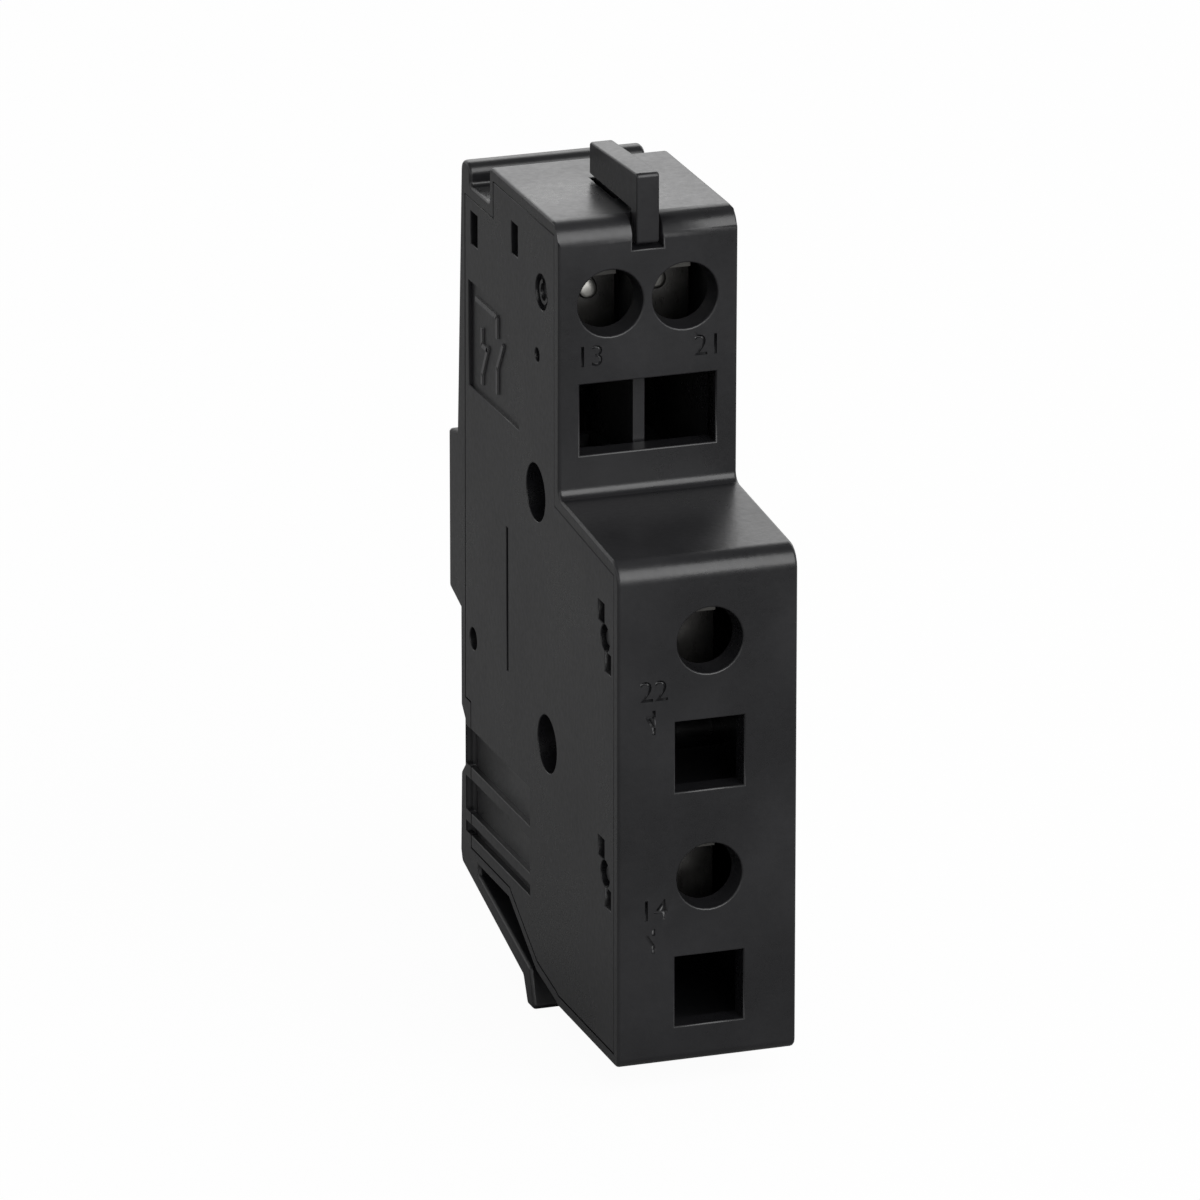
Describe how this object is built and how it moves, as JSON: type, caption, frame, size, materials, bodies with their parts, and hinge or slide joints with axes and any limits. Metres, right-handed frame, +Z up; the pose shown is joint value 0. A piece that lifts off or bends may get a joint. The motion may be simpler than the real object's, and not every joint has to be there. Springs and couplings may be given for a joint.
{
  "type": "auxiliary contact block",
  "caption": "Narrow stepped auxiliary contact block for switchgear, with spring clamp terminals, a sprung contact carrier with a side dog, a latch tab on top and a snap foot.",
  "frame": {"origin": "on the flat right side that lies against the switch the block serves, 17 mm behind the lower front face and 27 mm above the flat bottom", "axes": "+X out of the flat right side, +Y from the terminal side to the back, +Z up from the lower terminals to the latch tab"},
  "size_m": [0.0145, 0.0354, 0.06],
  "materials": {
    "black_polyamide": "satin",
    "carrier_plastic": "satin",
    "spring_steel": "satin",
    "tinned_brass": "satin",
    "copper_strip": "satin",
    "contact_silver": "satin"
  },
  "bodies": {
    "housing": {"housing_base": "black_polyamide", "side_cover": "black_polyamide", "rivet_upper": "spring_steel", "rivet_lower": "spring_steel", "terminal_divider": "black_polyamide", "clamp_spring_13": "spring_steel", "clamp_spring_14": "spring_steel", "clamp_spring_21": "spring_steel", "clamp_spring_22": "spring_steel", "current_bar_13": "tinned_brass", "current_bar_14": "tinned_brass", "current_bar_21": "tinned_brass", "current_bar_22": "tinned_brass", "fixed_tip_13": "contact_silver", "fixed_tip_14": "contact_silver", "fixed_tip_21": "contact_silver", "fixed_tip_22": "contact_silver", "return_spring": "spring_steel", "latch_spring": "spring_steel"},
    "carrier": {"contact_carrier": "carrier_plastic", "pressure_spring_no": "spring_steel", "pressure_spring_nc": "spring_steel"},
    "no_contact": {"bridge_no": "copper_strip", "bridge_tip_13": "contact_silver", "bridge_tip_14": "contact_silver"},
    "nc_contact": {"bridge_nc": "copper_strip", "bridge_tip_21": "contact_silver", "bridge_tip_22": "contact_silver"},
    "latch": {"latch_tab": "black_polyamide"}
  },
  "joints": [
    {"name": "carrier_slide", "type": "slide", "parent": "housing", "child": "carrier", "axis": [0, 0, -1], "range_m": [0, 0.002], "stiffness_N_per_m": 300, "springref_m": -0.003, "deforming": ["return_spring"]},
    {"name": "no_contact_slide", "type": "slide", "parent": "carrier", "child": "no_contact", "axis": [0, 0, 1], "range_m": [0, 0.001], "stiffness_N_per_m": 300, "springref_m": -0.002, "deforming": ["pressure_spring_no"]},
    {"name": "nc_contact_slide", "type": "slide", "parent": "carrier", "child": "nc_contact", "axis": [0, 0, -1], "range_m": [0, 0.001], "stiffness_N_per_m": 300, "springref_m": -0.002, "deforming": ["pressure_spring_nc"]},
    {"name": "latch_slide", "type": "slide", "parent": "housing", "child": "latch", "axis": [0, 0, 1], "range_m": [0, 0.0025], "stiffness_N_per_m": 200, "springref_m": -0.003, "deforming": ["latch_spring"]}
  ]
}
